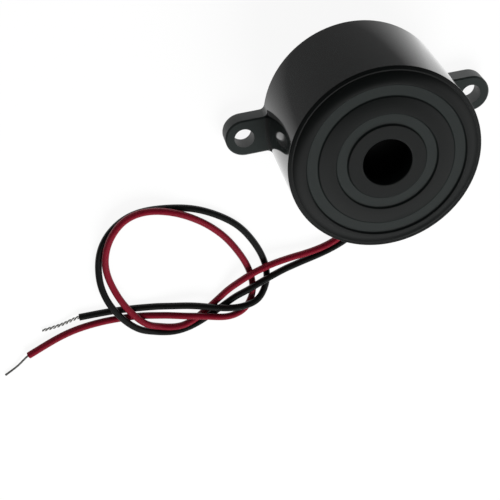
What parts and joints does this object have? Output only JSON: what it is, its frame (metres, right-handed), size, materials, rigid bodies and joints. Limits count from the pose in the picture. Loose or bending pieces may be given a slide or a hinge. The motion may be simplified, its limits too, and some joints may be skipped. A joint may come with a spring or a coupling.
{
  "type": "piezo buzzer",
  "caption": "Round piezo buzzer in a black moulded housing with a stepped sound face, two fixing ears, a driver board inside and a red and a black lead in a loose knot.",
  "frame": {"origin": "centre of the round body on its back face, which lies on the surface", "axes": "+Z out of the sound port, X through the two fixing ears, the leads leave the back edge towards -Y"},
  "size_m": [0.0929, 0.0562, 0.0207],
  "materials": {
    "housing_plastic": "satin moulded black plastic",
    "cover_plastic": "fine matt black plastic",
    "brass": "rolled brass, its sound side lacquered black against damp",
    "ceramic": "fired ceramic",
    "silver_film": "fired silver film",
    "silicone": "cured white silicone",
    "solder": "bright solder",
    "board_laminate": "brown paper laminate",
    "copper": "copper foil",
    "ferrite": "sintered ferrite",
    "enamelled_wire": "enamelled copper wire",
    "tinned_wire": "tinned wire",
    "epoxy": "moulded black epoxy",
    "resistor_lacquer": "lacquered",
    "diode_glass": "amber glass",
    "link_insulation": "thin white insulation",
    "sealant": "cured black sealant",
    "red_insulation": "soft satin vinyl",
    "black_insulation": "soft satin vinyl",
    "tinned_strand": "tinned copper strands"
  },
  "bodies": {
    "root": {"housing": "housing_plastic", "back_cover": "cover_plastic", "brass_diaphragm": "brass", "piezo_ceramic": "ceramic", "main_electrode": "silver_film", "feedback_electrode": "silver_film", "disc_adhesive": "silicone", "disc_solder": "solder", "driver_board": "board_laminate", "board_copper": "copper", "solder_joints": "solder", "choke_core": "ferrite", "choke_winding": "enamelled_wire", "choke_pins": "tinned_wire", "transistor_body": "epoxy", "transistor_legs": "tinned_wire", "resistor_bodies": "resistor_lacquer", "resistor_leads": "tinned_wire", "diode_body": "diode_glass", "diode_leads": "tinned_wire", "disc_link_wires": "link_insulation", "lead_seal": "sealant", "red_lead": "red_insulation", "black_lead": "black_insulation", "red_lead_end": "tinned_strand", "black_lead_end": "tinned_strand"}
  },
  "joints": []
}
